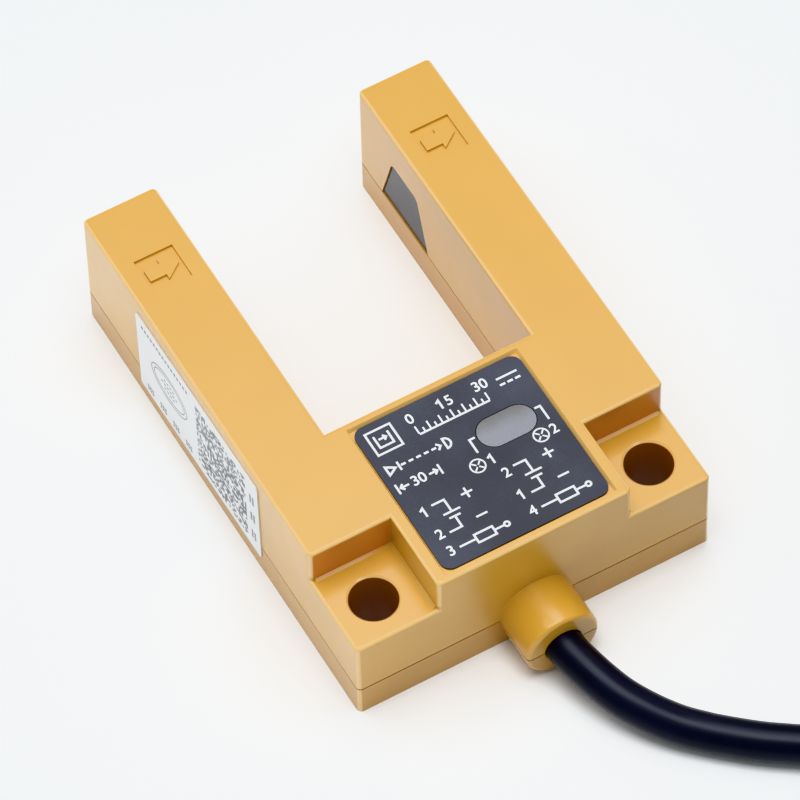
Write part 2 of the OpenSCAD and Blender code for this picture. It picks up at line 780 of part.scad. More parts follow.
// Ring of the coil's outer form, with a seat for the arriving cable and a pocket for the leads
module cable_coil() color(cable_black) difference() {
    seat_w = cable_d + 2 * coil_seat_gap;
    translate([coil_at.x, coil_at.y, 0]) difference() {
        rotate_extrude($fn = 96) translate([coil_mid, 0])
            soft_rect(-coil_half, coil_half, coil_low, coil_top, coil_round);
        rotate(lead_angle) rotate_extrude(angle = lead_sweep + tip_sweep + pocket_spare, $fn = 96)
            translate([coil_mid - coil_half - over, lead_floor])
                square([coil_pitch + over, coil_top - lead_floor + over]);
    }
    translate(coil_entry) rotate(coil_heading) translate([-coil_r_out, -coil_r_out, -coil_entry.z])
        cube([coil_r_out, coil_r_out + seat_w / 2, coil_entry.z + seat_w / 2]);
}

// Flat bands round the section of the coil
module coil_ties() color(paper_white) translate([coil_at.x, coil_at.y, 0]) for (a = tie_angles)
    rotate(a) translate([coil_mid, tie_w / 2, 0]) rotate([90, 0, 0]) linear_extrude(tie_w) difference() {
        inner = coil_half + tie_gap;
        outer = inner + tie_t;
        soft_rect(-outer, outer, 0, coil_top + tie_gap + tie_t, coil_round);
        soft_rect(-inner, inner, tie_t, coil_top + tie_gap, coil_round);
    }

// Arc of lead number k from one angle over a sweep, lying on the floor of the pocket
module lead_arc(k, from, sweep, d) {
    translate([coil_at.x, coil_at.y, lead_floor + core_d / 2]) rotate(lead_angle + from)
        rotate_extrude(angle = sweep, $fn = 96)
            translate([coil_r_in + (k - 1.5) * lead_pitch, 0]) circle(d = d, $fn = 16);
}

module lead(k) color(core_colours[k]) lead_arc(k, 0, lead_sweep, core_d);

module lead_red() lead(0);

module lead_black() lead(1);

module lead_yellow() lead(2);

module lead_white() lead(3);

module lead_tips() color(metal_grey) for (k = [0:3]) lead_arc(k, lead_sweep, tip_sweep, tip_d);

upper_case();
base_cover();
front_label();
indicator_window();
emitter_window();
receiver_window();
side_sticker();
circuit_board();
emitter_led();
photodiode();
led_holder();
power_led();
switch_led();
control_chip();
voltage_regulator();
npn_transistor();
pnp_transistor();
filter_capacitor();
protection_diode();
chip_resistors();
board_screws();
cover_screws();
cable_clamp();
core_red();
core_black();
core_yellow();
core_white();
cable();
cable_coil();
coil_ties();
lead_red();
lead_black();
lead_yellow();
lead_white();
lead_tips();
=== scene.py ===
"""Looks of a fork sensor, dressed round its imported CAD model. Lengths are metres unless a name says mm."""
import json
import math

import bmesh
import bpy
from mathutils import Matrix, Vector

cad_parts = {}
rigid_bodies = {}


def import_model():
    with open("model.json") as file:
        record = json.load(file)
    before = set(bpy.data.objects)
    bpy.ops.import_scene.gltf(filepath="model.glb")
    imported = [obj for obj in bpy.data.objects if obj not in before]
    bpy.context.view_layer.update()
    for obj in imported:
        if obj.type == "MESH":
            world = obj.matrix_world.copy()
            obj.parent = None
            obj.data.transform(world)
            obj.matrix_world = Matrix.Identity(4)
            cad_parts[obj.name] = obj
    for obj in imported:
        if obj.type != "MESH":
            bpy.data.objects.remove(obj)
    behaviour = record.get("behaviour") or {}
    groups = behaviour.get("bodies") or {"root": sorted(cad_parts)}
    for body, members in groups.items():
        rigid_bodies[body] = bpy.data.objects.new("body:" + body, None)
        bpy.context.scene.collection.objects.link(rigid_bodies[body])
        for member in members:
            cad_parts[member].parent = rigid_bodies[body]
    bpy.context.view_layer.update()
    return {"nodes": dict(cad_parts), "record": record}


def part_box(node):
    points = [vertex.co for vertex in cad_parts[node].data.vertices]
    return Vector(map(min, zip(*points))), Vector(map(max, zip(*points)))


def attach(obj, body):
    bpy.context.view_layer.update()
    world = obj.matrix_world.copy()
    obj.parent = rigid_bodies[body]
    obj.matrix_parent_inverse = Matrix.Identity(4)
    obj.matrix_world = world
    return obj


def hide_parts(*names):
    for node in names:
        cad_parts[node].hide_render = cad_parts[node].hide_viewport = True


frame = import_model()
NODES = frame["nodes"]
SCENE = bpy.context.scene
BODY = "root"
MM = 0.001

# Camera, fitted to the photograph's edges
CAMERA_AT = Vector((-0.24366, -0.42205, 0.77002))
CAMERA_AZIMUTH = math.radians(-28.402)
CAMERA_ELEVATION = math.radians(56.116)
CAMERA_ROLL = math.radians(-1.663)
LENS_MM = 322.18
SENSOR_MM = 36

# Cable: the route that the model's own source gives, then the coil, whose turns make up the length
CABLE_D = 0.0052
CABLE_SIDES = 20
CABLE_EXIT = (0, -0.0128, 0.0053)
CABLE_ROUTE = [
    (0, -0.0007, 0.0053),
    (0, -0.0058, 0.0053),
    CABLE_EXIT,
    (0.0004, -0.0156, 0.0052),
    (0.0014, -0.0195, 0.0049),
    (0.0026, -0.0226, 0.0044),
    (0.0041, -0.0252, 0.0039),
    (0.0057, -0.0274, 0.0034),
    (0.0074, -0.0294, 0.0030),
    (0.0092, -0.0312, 0.0028),
    (0.0110, -0.0329, 0.0027),
    (0.0148, -0.0362, 0.0027),
    (0.0188, -0.0391, 0.0027),
    (0.0280, -0.0458, 0.0028),
    (0.0380, -0.0529, 0.0030),
    (0.0485, -0.0590, 0.00325),
    (0.0560, -0.0630, 0.00325),
]
ROUTE_STEPS = 4
COIL_AT = Vector((0.072, -0.033))
COIL_RADII = (0.0340, 0.0287, 0.0234)
COIL_RISE = 0.00525
COIL_TURNS = 3.312
COIL_CROSSING = 0.25
COIL_STEPS = 56

# Case: length of the cable boss, place of the walls behind the ears, height of the ears' floors,
# size of their coves, half the width of the centre block, open length of the indicator window
BOSS_L = 7 * MM
EAR_WALL_Y = 6 * MM
EAR_FLOOR_Z = 14.6 * MM
COVE = 0.7 * MM
BLOCK_HALF = 14 * MM
WINDOW_L = 4.7 * MM

# Board: height of the bodies of the side-looking packages
SIDE_BODY_H = 5.2 * MM

# Plastics: size and depth of the grain, size of the drift in tone, size of the patches of sheen
GRAIN_MM = 0.16
GRAIN_DEPTH_MM = 0.006
DRIFT_MM = 14
SHEEN_MM = 5

# Finish of the case: its coat, how far its rounded edges go to a colour of painted highlight, how much of
# that the coves lose, and the width over which a finish begins
COAT = 0.5
EDGE_HIGHLIGHT_SHARE = 0.7
COVE_LOSS = 0.75
BRINK = 0.03 * MM

# Printed marks: thickness of the ink, width of its lines, height and weight of its figures, slant of
# the sticker. Places on a sheet are in millimetres from its middle.
INK = 0.02 * MM
LINE_MM = 0.3
LINE_W = LINE_MM * MM
FINE_W = 0.22 * MM
HAIR_W = 0.14 * MM
FIGURE_H = 2.1 * MM
FIGURE_WEIGHT = 0.012
STICKER_SLANT = math.radians(0.9)

# Wiring marks: heights of the three wires, then the left end of each column and the numbers of its wires
WIRE_ROWS = (-3.1, -6.9, -9.7)
WIRE_COLUMNS = ((-10.9, "123"), (0.9, "214"))


class Wire:
    """An output socket. Its operators add Math nodes, so that shader maths reads as an expression."""

    def __init__(self, board, socket):
        self.board = board
        self.socket = socket

    def maths(self, operation, *values):
        return self.board.node("ShaderNodeMath", {"operation": operation}, dict(enumerate(values)))

    def __add__(self, other):
        return self.maths("ADD", self, other)

    def __radd__(self, other):
        return self.maths("ADD", other, self)

    def __sub__(self, other):
        return self.maths("SUBTRACT", self, other)

    def __rsub__(self, other):
        return self.maths("SUBTRACT", other, self)

    def __mul__(self, other):
        return self.maths("MULTIPLY", self, other)

    def __rmul__(self, other):
        return self.maths("MULTIPLY", other, self)

    def __truediv__(self, other):
        return self.maths("DIVIDE", self, other)

    def __pow__(self, other):
        return self.maths("POWER", self, other)

    def size(self):
        return self.maths("ABSOLUTE", self)

    def most(self, other):
        return self.maths("MAXIMUM", self, other)

    def step(self, low, high):
        """Rises smoothly from 0 to 1 between two values."""
        return self.board.node(
            "ShaderNodeMapRange",
            {"interpolation_type": "SMOOTHSTEP"},
            {"Value": self, "From Min": low, "From Max": high},
        )


class Board:
    """A node tree, with one method that adds any node and wires its sockets."""

    def __init__(self, tree):
        self.tree = tree

    def node(self, kind, settings=None, inputs=None, output=0):
        made = self.tree.nodes.new(kind)
        for name, value in (settings or {}).items():
            setattr(made, name, value)
        for key, value in (inputs or {}).items():
            self.feed(made.inputs[key], value)
        return Wire(self, made.outputs[output])

    def feed(self, socket, value):
        if isinstance(value, Wire):
            self.tree.links.new(value.socket, socket)
        else:
            socket.default_value = value


class Paint(Board):
    """One material: a Principled shader and the patterns that feed it."""

    def __init__(self, name, **constants):
        self.material = bpy.data.materials.new(name)
        self.material.use_nodes = True
        super().__init__(self.material.node_tree)
        self.shader = self.tree.nodes["Principled BSDF"]
        for socket, value in constants.items():
            self.shader.inputs[socket.replace("_", " ")].default_value = value

    def place(self, stretch=(1, 1, 1)):
        """Object coordinates, stretched along each axis."""
        here = self.node("ShaderNodeTexCoord", output="Object")
        return self.node("ShaderNodeMapping", inputs={"Vector": here, "Scale": stretch})

    def split(self, vector):
        """The three parts of a vector, each by itself."""
        return [self.node("ShaderNodeSeparateXYZ", inputs={"Vector": vector}, output=way) for way in "XYZ"]

    def axes(self):
        """The three Object coordinates, each by itself."""
        return self.split(self.node("ShaderNodeTexCoord", output="Object"))

    def rounded(self):
        """1 on rounded edges, where the surface faces along none of the three axes, and 0 on flat faces."""
        facing = self.node("ShaderNodeTexCoord", output="Normal")
        x, y, z = (part.size() for part in self.split(facing))
        return 1 - x.most(y).most(z).step(0.9, 0.99)

    def noise(self, size_mm, where, detail=2):
        """Noise from 0 to 1 with features of about this size."""
        return self.node(
            "ShaderNodeTexNoise", inputs={"Vector": where, "Scale": 1 / (size_mm * MM), "Detail": detail}
        )

    def mix(self, share, first, second):
        """From the first colour to the second as the share goes from 0 to 1."""
        return self.node("ShaderNodeMix", {"data_type": "RGBA"}, {0: share, 6: first, 7: second}, 2)

    def bump(self, height, depth_mm):
        """Relief of a height from 0 to 1."""
        normal = self.node("ShaderNodeBump", inputs={"Height": height, "Distance": depth_mm * MM})
        self.feed(self.shader.inputs["Normal"], normal)

    def colour(self, value):
        self.feed(self.shader.inputs["Base Color"], value)

    def rough(self, value):
        self.feed(self.shader.inputs["Roughness"], value)

    def metallic(self, value):
        self.feed(self.shader.inputs["Metallic"], value)

    def coat(self, value):
        self.feed(self.shader.inputs["Coat Weight"], value)


def rgb(red, green, blue):
    return (red, green, blue, 1)


def shade(colour, factor):
    return rgb(*(c * factor for c in colour[:3]))


def mottle(paint, colour, spread, grain_mm):
    """A colour that drifts slowly and varies with a fine grain, and the grain itself."""
    here = paint.place()
    grain = paint.noise(grain_mm, here)
    tone = (paint.noise(DRIFT_MM, here, 3) * 0.75 + grain * 0.25).step(0.3, 0.7)
    return paint.mix(tone, shade(colour, 1 - spread), shade(colour, 1 + spread)), grain


def satin(paint, roughness, grain):
    """Patches of more or less sheen, and the relief of a fine grain."""
    sheen = paint.noise(SHEEN_MM, paint.place())
    paint.rough(roughness + (sheen - 0.5) * 0.08 + (grain - 0.5) * 0.06)
    paint.bump(grain, GRAIN_DEPTH_MM)


def moulded(name, colour, roughness, spread=0.06, grain_mm=GRAIN_MM, **constants):
    """Moulded plastic: slow drift of tone, a fine eroded grain and patches of more or less sheen."""
    paint = Paint(name, **constants)
    tint, grain = mottle(paint, colour, spread, grain_mm)
    paint.colour(tint)
    satin(paint, roughness, grain)
    return paint.material


def ear_walls(x, y, z, top):
    """1 on the walls behind the ears, which get painted shade, and 0 on the rest of the case."""
    in_height = z.step(EAR_FLOOR_Z, EAR_FLOOR_Z + 0.5 * MM) - z.step(top - 0.7 * MM, top - 0.4 * MM)
    past_block = x.size().step(BLOCK_HALF + 0.1 * MM, BLOCK_HALF + 0.5 * MM)
    before_tine = 1 - y.step(EAR_WALL_Y + 0.02 * MM, EAR_WALL_Y + 0.2 * MM)
    return in_height * past_block * before_tine


def outside_holes(x, y):
    """0 in the mounting holes, and 1 on the rest of the case."""
    holes = next(m for m in frame["record"]["mounts"] if m["name"] == "mounting_holes")["dims"]
    radius = holes["hole_r_mm"] * MM
    off = x.size() - holes["spacing_x_mm"] * MM / 2
    return ((off * off + y * y) ** 0.5).step(radius + BRINK, radius + 2 * BRINK)


def case_plastic(name, colour, roughness):
    """Satin plastic: painted shade behind the ears and in its holes, painted highlights on its edges."""
    low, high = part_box("upper_case")
    paint = Paint(name, Coat_Roughness=0.2)
    tint, grain = mottle(paint, colour, 0.05, GRAIN_MM)
    x, y, z = paint.axes()
    outside = outside_holes(x, y)
    back = low[1] + BOSS_L
    past_boss = y.step(back - 0.1 * MM, back)
    cove_top = EAR_FLOOR_Z + COVE
    cove = z.step(EAR_FLOOR_Z, EAR_FLOOR_Z + BRINK) - z.step(cove_top, cove_top + BRINK)
    # Painted highlight: rounded edges are lightened towards a cream gold, less in the coves; they also get
    # more coat
    edge_highlight = paint.rounded() * outside * past_boss * (1 - COVE_LOSS * cove)
    # Painted shade: the walls behind the ears take a redder, darker gold, as they look in their shade
    tint = paint.mix(ear_walls(x, y, z, high[2]), tint, SHADED_WALL_GOLD)
    tint = paint.mix(edge_highlight * EDGE_HIGHLIGHT_SHARE, tint, EDGE_HIGHLIGHT_GOLD)
    # Painted shade: inside the mounting holes the colour goes to a dark brown
    paint.colour(paint.mix(outside, HOLE_SHADE_BROWN, tint))
    paint.coat(COAT + edge_highlight * (1 - COAT))
    satin(paint, roughness, grain)
    return paint.material


def frosted(name, node, lit, dim):
    """A translucent insert, dimmer towards its far edge, where the case shades it."""
    low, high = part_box(node)
    paint = Paint(name)
    grain = paint.noise(0.2, paint.place())
    cloud = paint.noise(3, paint.place())
    across = (paint.axes()[1] - (low[1] + high[1]) / 2) / (WINDOW_L / 2)
    shaded = (across + (cloud - 0.5) * 0.8 + (grain - 0.5) * 0.3).step(-0.3, 1.2)
    paint.colour(paint.mix(shaded, lit, dim))
    paint.rough(0.26 + (cloud - 0.5) * 0.1 + (grain - 0.5) * 0.06)
    paint.bump(grain, GRAIN_DEPTH_MM)
    return paint.material


def metal(name, colour, roughness, along=(1, 1, 12)):
    """Drawn or turned metal: fine streaks in tone, sheen and relief."""
    paint = Paint(name, Metallic=1.0)
    streaks = paint.noise(0.5, paint.place(along), 3)
    paint.colour(paint.mix(streaks, shade(colour, 0.82), shade(colour, 1.06)))
    paint.rough(roughness + (streaks - 0.5) * 0.2)
    paint.bump(streaks, 0.008)
    return paint.material


def part_tinned(name, colour, roughness, tinned_where):
    """A moulded body with tinned legs; the last argument gives the legs' mask from the paint."""
    paint = Paint(name)
    tinned = tinned_where(paint)
    tint, grain = mottle(paint, colour, 0.15, 0.12)
    paint.colour(paint.mix(tinned, tint, TIN))
    paint.metallic(tinned)
    paint.rough(roughness + (grain - 0.5) * 0.12 + (0.3 - roughness) * tinned)
    paint.bump(grain, 0.005)
    return paint.material


def package(node, reach_x_mm, reach_y_mm):
    """A black package whose legs or end caps stand out from its body by a reach along X or Y."""
    low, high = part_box(node)

    def legs(paint):
        x, y, _ = paint.axes()
        past = [
            (way - (low[i] + high[i]) / 2).size() - ((high[i] - low[i]) / 2 - reach * MM)
            for i, (way, reach) in enumerate(((x, reach_x_mm), (y, reach_y_mm)))
        ]
        return past[0].most(past[1]).step(0, 0.02 * MM)

    return part_tinned(node + "_epoxy", EPOXY_BLACK, 0.55, legs)


def lamp_epoxy(node, colour, foot_z):
    """A cast package whose leads start below a height."""

    def leads(paint):
        return (foot_z - paint.axes()[2]).step(0, 0.02 * MM)

    return part_tinned(node + "_epoxy", colour, 0.14, leads)


def solder_mask(name):
    """Green board with lighter tracks under the mask."""
    paint = Paint(name, Coat_Weight=0.5, Coat_Roughness=0.2)
    cell = 2.4 * MM
    edge = paint.node(
        "ShaderNodeTexVoronoi",
        {"feature": "DISTANCE_TO_EDGE"},
        {"Vector": paint.place(), "Scale": 1 / cell},
    )
    tracks = 1 - edge.step(0.05, 0.09)
    weave = paint.noise(0.4, paint.place())
    plain = paint.mix(weave, rgb(0.012, 0.11, 0.04), rgb(0.02, 0.15, 0.055))
    paint.colour(paint.mix(tracks, plain, rgb(0.05, 0.27, 0.09)))
    paint.rough(0.34 + (weave - 0.5) * 0.1)
    paint.bump(tracks * 0.8 + weave * 0.2, 0.03)
    return paint.material


def sheath(name, colour):
    """Extruded cable sheath: faint lines along its length and a fine skin."""
    paint = Paint(name, Specular_IOR_Level=0.36, Specular_Tint=COOL)
    side = paint.node("ShaderNodeAttribute", {"attribute_name": "side"}, output="Vector")
    along = paint.node("ShaderNodeAttribute", {"attribute_name": "along"}, output="Fac")
    drawn = paint.node("ShaderNodeCombineXYZ", inputs={"Z": along * 40})
    where = paint.node(
        "ShaderNodeVectorMath", {"operation": "MULTIPLY_ADD"}, {0: side, 1: (6, 6, 6), 2: drawn}
    )
    lines = paint.node("ShaderNodeTexNoise", inputs={"Vector": where, "Scale": 1.0, "Detail": 3.0})
    skin = paint.noise(0.2, paint.place())
    smudge = paint.noise(9, paint.place(), 3)
    paint.colour(paint.mix(smudge.step(0.35, 0.7), shade(colour, 0.8), shade(colour, 1.5)))
    paint.rough(0.36 + (smudge - 0.5) * 0.14 + (lines - 0.5) * 0.1)
    paint.bump(lines * 0.7 + skin * 0.3, 0.02)
    return paint.material


def make_camera():
    back = Vector((
        math.sin(CAMERA_AZIMUTH) * math.cos(CAMERA_ELEVATION),
        -math.cos(CAMERA_AZIMUTH) * math.cos(CAMERA_ELEVATION),
        math.sin(CAMERA_ELEVATION),
    ))
    level = Vector((math.cos(CAMERA_AZIMUTH), math.sin(CAMERA_AZIMUTH), 0))
    right = level * math.cos(CAMERA_ROLL) + back.cross(level) * math.sin(CAMERA_ROLL)
    lens = bpy.data.cameras.new("camera")
    lens.lens = LENS_MM
    lens.sensor_width = SENSOR_MM
    camera = bpy.data.objects.new("camera", lens)
    turn = Matrix((right, back.cross(right), back)).transposed().to_4x4()
    camera.matrix_world = Matrix.Translation(CAMERA_AT) @ turn
    SCENE.collection.objects.link(camera)
    SCENE.camera = camera


def smooth_path(points, steps):
    """A curve through all the points, with this many steps between each two."""
    knots = [Vector(p) for p in points]
    ends = [2 * knots[0] - knots[1], *knots, 2 * knots[-1] - knots[-2]]
    path = []
    for a, b, c, d in zip(ends, ends[1:], ends[2:], ends[3:]):
        for k in range(steps):
            t = k / steps
            bend = (2 * a - 5 * b + 4 * c - d) * t**2 + (3 * b - a - 3 * c + d) * t**3
            path.append(b + ((c - a) * t + bend) / 2)
    return path + [knots[-1]]


def coil_path(start):
    """Turns of the coil from its start: up the outer column, down the middle one, up the inner one."""
    reach = start.xy - COIL_AT
    angle = math.atan2(reach.y, reach.x)
    low = start.z
    high = low + COIL_RISE * COIL_TURNS
    path = []

    def turn(turns, radius, height):
        nonlocal angle
        count = round(turns * COIL_STEPS)
        for k in range(1, count + 1):
            share = k / count
            at = angle + 2 * math.pi * turns * share
            r = radius(share)
            path.append(Vector((COIL_AT.x + r * math.cos(at), COIL_AT.y + r * math.sin(at), height(share))))
        angle += 2 * math.pi * turns

    def column(radius, bottom, top):
        turn(COIL_TURNS, lambda s: radius, lambda s: bottom + (top - bottom) * s)

    def crossing(outer, inner, level):
        turn(COIL_CROSSING, lambda s: outer + (inner - outer) * s * s * (3 - 2 * s), lambda s: level)

    outer, middle, inner = COIL_RADII
    column(outer, low, high)
    crossing(outer, middle, high)
    column(middle, high, low)
    crossing(middle, inner, low)
    column(inner, low, high)
    return path


class Recipe(Board):
    """A Geometry Nodes tree with named inputs, run once on a mesh to make a plain one."""

    def __init__(self, name):
        super().__init__(bpy.data.node_groups.new(name, "GeometryNodeTree"))
        for way in ("INPUT", "OUTPUT"):
            self.tree.interface.new_socket("Geometry", in_out=way, socket_type="NodeSocketGeometry")
        self.entry = self.tree.nodes.new("NodeGroupInput")
        self.exit = self.tree.nodes.new("NodeGroupOutput")
        self.ids = {}

    def size(self, name, kind="NodeSocketFloat"):
        """A named input of the tree."""
        self.ids[name] = self.tree.interface.new_socket(name, in_out="INPUT", socket_type=kind).identifier
        return Wire(self, self.entry.outputs[name])

    def start(self):
        return Wire(self, self.entry.outputs["Geometry"])

    def end(self, shape, material):
        """Closes the tree: real geometry, with its material set."""
        whole = self.node("GeometryNodeRealizeInstances", inputs={"Geometry": shape})
        painted = self.node("GeometryNodeSetMaterial", inputs={"Geometry": whole, "Material": material})
        self.feed(self.exit.inputs["Geometry"], painted)

    def make(self, name, mesh, **sizes):
        """The tree's result on a mesh, as a plain mesh."""
        carrier = show(name + "_carrier", mesh)
        modifier = carrier.modifiers.new("recipe", "NODES")
        modifier.node_group = self.tree
        for key, value in sizes.items():
            modifier[self.ids[key]] = value
        seen = carrier.evaluated_get(bpy.context.evaluated_depsgraph_get())
        plain = bpy.data.meshes.new_from_object(seen)
        bpy.data.objects.remove(carrier)
        return plain


def show(name, mesh):
    piece = bpy.data.objects.new(name, mesh)
    SCENE.collection.objects.link(piece)
    return piece


def line_mesh(name, points):
    mesh = bpy.data.meshes.new(name)
    mesh.from_pydata(points, [(i, i + 1) for i in range(len(points) - 1)], [])
    return mesh


def tube_recipe(material):
    """A closed round tube along a line of points, which knows the way along it and round it."""
    recipe = Recipe("tube")
    radius = recipe.size("radius")
    sides = recipe.size("sides", "NodeSocketInt")
    line = recipe.node("GeometryNodeMeshToCurve", inputs={"Mesh": recipe.start()})
    length = recipe.node("GeometryNodeSplineParameter", output="Length")
    line = recipe.node(
        "GeometryNodeStoreNamedAttribute",
        {"data_type": "FLOAT", "domain": "POINT"},
        {"Geometry": line, "Name": "along", "Value": length},
    )
    ring = recipe.node(
        "GeometryNodeCurvePrimitiveCircle", {"mode": "RADIUS"}, {"Resolution": sides, "Radius": radius}
    )
    outward = recipe.node(
        "ShaderNodeVectorMath", {"operation": "NORMALIZE"}, {0: recipe.node("GeometryNodeInputPosition")}
    )
    ring = recipe.node(
        "GeometryNodeStoreNamedAttribute",
        {"data_type": "FLOAT_VECTOR", "domain": "POINT"},
        {"Geometry": ring, "Name": "side", "Value": outward},
    )
    tube = recipe.node(
        "GeometryNodeCurveToMesh", inputs={"Curve": line, "Profile Curve": ring, "Fill Caps": True}
    )
    recipe.end(recipe.node("GeometryNodeSetShadeSmooth", inputs={"Geometry": tube}), material)
    return recipe


def make_cable(material):
    route = smooth_path(CABLE_ROUTE, ROUTE_STEPS)
    path = route + coil_path(route[-1])
    tube = tube_recipe(material).make(
        "cable_run", line_mesh("cable_line", path), radius=CABLE_D / 2, sides=CABLE_SIDES
    )
    cable = show("cable_run", tube)
    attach(cable, BODY)
    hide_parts("cable", "cable_coil")


def open_line(*points):
    return points, False


def loop(*points):
    return points, True


def frame_box(u, v, w, h):
    corners = ((-1, -1), (1, -1), (1, 1), (-1, 1))
    return loop(*((u + x * w / 2, v + y * h / 2) for x, y in corners))


def ring(u, v, ru, rv, corners=28):
    turns = [2 * math.pi * k / corners for k in range(corners)]
    return loop(*((u + ru * math.cos(a), v + rv * math.sin(a)) for a in turns))


def arrow_head(u, v, reach):
    """Two barbs that meet at a point; a negative reach points to the left."""
    return open_line((u - reach, v + abs(reach)), (u, v), (u - reach, v - abs(reach)))


def mitre(before, at, after):
    """How much wider a line is across its bend than across itself."""
    return 1 / math.cos((at - before).angle(after - at) / 2)


def paths_mesh(paths):
    """Lines given in millimetres as one mesh, whose points hold how much a bend widens the line."""
    points = []
    edges = []
    widening = []
    for path, closed in paths:
        first = len(points)
        last = first + len(path) - 1
        here = [Vector(p) * MM for p in path]
        points += [p.to_3d() for p in here]
        edges += [(i, i + 1) for i in range(first, last)]
        bends = [mitre(*three) for three in zip(here, here[1:], here[2:])]
        if closed:
            edges.append((last, first))
            bends = [mitre(here[-1], here[0], here[1]), *bends, mitre(here[-2], here[-1], here[0])]
        else:
            bends = [1, *bends, 1]
        widening += bends
    mesh = bpy.data.meshes.new("paths")
    mesh.from_pydata(points, edges, [])
    mesh.attributes.new("widening", "FLOAT", "POINT").data.foreach_set("value", widening)
    return mesh


def stroke_recipe(material):
    """Flat ink along lines that lie in a plane."""
    recipe = Recipe("strokes")
    width = recipe.size("width")
    depth = recipe.size("depth")
    line = recipe.node("GeometryNodeMeshToCurve", inputs={"Mesh": recipe.start()})
    line = recipe.node("GeometryNodeSetCurveNormal", {"mode": "Z_UP"}, {"Curve": line})
    section = recipe.node(
        "GeometryNodeCurvePrimitiveQuadrilateral", {"mode": "RECTANGLE"}, {"Width": width, "Height": depth}
    )
    widening = recipe.node("GeometryNodeInputNamedAttribute", {"data_type": "FLOAT"}, {"Name": "widening"})
    bands = recipe.node(
        "GeometryNodeCurveToMesh",
        inputs={"Curve": line, "Profile Curve": section, "Scale": widening, "Fill Caps": True},
    )
    recipe.end(bands, material)
    return recipe


def bar_of(recipe, length, width, depth):
    size = recipe.node("ShaderNodeCombineXYZ", inputs={"X": length, "Y": width, "Z": depth})
    return recipe.node("GeometryNodeMeshCube", inputs={"Size": size})


def row_recipe(material):
    """A row of like bars at one pitch, with its middle on the origin."""
    recipe = Recipe("row")
    count = recipe.size("count", "NodeSocketInt")
    pitch = recipe.size("pitch")
    bar = bar_of(recipe, *(recipe.size(name) for name in ("length", "width", "depth")))
    start = recipe.node("ShaderNodeCombineXYZ", inputs={"X": (1 - count) * pitch / 2})
    step = recipe.node("ShaderNodeCombineXYZ", inputs={"X": pitch})
    row = recipe.node(
        "GeometryNodeMeshLine", {"mode": "OFFSET"}, {"Count": count, "Start Location": start, "Offset": step}
    )
    bars = recipe.node("GeometryNodeInstanceOnPoints", inputs={"Points": row, "Instance": bar})
    recipe.end(bars, material)
    return recipe


def cells_recipe(material):
    """A square field of small cells, of which a seeded half is printed."""
    recipe = Recipe("cells")
    count = recipe.size("count", "NodeSocketInt")
    seed = recipe.size("seed", "NodeSocketInt")
    pitch = recipe.size("pitch")
    side = (count - 1) * pitch
    grid = recipe.node(
        "GeometryNodeMeshGrid",
        inputs={"Size X": side, "Size Y": side, "Vertices X": count, "Vertices Y": count},
    )
    inked = recipe.node(
        "FunctionNodeRandomValue", {"data_type": "BOOLEAN"}, {"Probability": 0.5, "Seed": seed}, output=3
    )
    cell = bar_of(recipe, pitch * 0.92, pitch * 0.92, recipe.size("depth"))
    cells = recipe.node(
        "GeometryNodeInstanceOnPoints", inputs={"Points": grid, "Selection": inked, "Instance": cell}
    )
    recipe.end(cells, material)
    return recipe


def moved(mesh, u, v, turn=0):
    """A mesh of marks, turned and put at a place on its sheet that is given in millimetres."""
    mesh.transform(Matrix.Translation((u * MM, v * MM, 0)) @ Matrix.Rotation(turn, 4, "Z"))
    return mesh


def figure(text, u, v):
    """A number in the built-in letters, as a flat mesh with its middle at a place on its sheet."""
    curve = bpy.data.curves.new("figure", "FONT")
    curve.body = text
    curve.align_x = "CENTER"
    curve.align_y = "CENTER"
    curve.offset = FIGURE_WEIGHT
    curve.extrude = INK / FIGURE_H / 2
    holder = show("figure", curve)
    mesh = bpy.data.meshes.new_from_object(holder.evaluated_get(bpy.context.evaluated_depsgraph_get()))
    bpy.data.objects.remove(holder)
    mesh.transform(Matrix.Diagonal((FIGURE_H, FIGURE_H, FIGURE_H, 1)))
    return moved(mesh, u, v)


def one(u, v):
    """The figure one with its flag, which the built-in letters draw as a bare bar."""
    return open_line((u - 0.5, v + 0.35), (u, v + 0.7), (u, v - 0.7))


def sheet(at, right, up):
    """The frame of a flat sheet: its middle, and the ways right and up as seen from outside."""
    out = right.cross(up)
    return Matrix.Translation(at + out * INK / 2) @ Matrix((right, up, out)).transposed().to_4x4()


def printed(name, marks, place, material):
    """All the marks on a sheet as one piece."""
    whole = bmesh.new()
    for mesh in marks:
        whole.from_mesh(mesh)
    mesh = bpy.data.meshes.new(name)
    whole.to_mesh(mesh)
    whole.free()
    mesh.transform(place)
    mesh.materials.append(material)
    piece = show(name, mesh)
    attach(piece, BODY)


def pictogram_lines(u, v):
    """A fork with an arrow across its slot, in a frame."""
    return [
        frame_box(u, v, 3.6, 3.6),
        open_line((u - 1, v + 1), (u - 1, v - 0.9), (u + 1, v - 0.9), (u + 1, v + 1)),
        open_line((u - 0.6, v + 0.3), (u + 0.3, v + 0.3)),
        arrow_head(u + 0.5, v + 0.3, 0.4),
    ]


def beam_lines(v):
    """An emitter and a receiver; the beam's dashes between them are a row."""
    flat = -2.6
    turns = [math.radians(degrees) for degrees in range(-90, 91, 18)]
    bow = [(flat + 0.8 * math.cos(a), v + 0.8 * math.sin(a)) for a in turns]
    return [
        loop((-10.9, v - 0.7), (-9.7, v), (-10.9, v + 0.7)),
        open_line((-9.2, v - 0.7), (-9.2, v + 0.7)),
        arrow_head(-3.2, v, 0.5),
        loop(*bow),
    ]


def width_lines(v):
    """A dimension with a place for its figure in the middle."""
    lines = []
    for end, inner, way in ((-11.1, -9.5, -1), (-5, -6.6, 1)):
        point = end - way * 0.4
        lines.append(open_line((end, v - 0.8), (end, v + 0.8)))
        lines.append(open_line((point - way * 0.25, v), (inner, v)))
        lines.append(arrow_head(point, v, way * 0.45))
    return lines


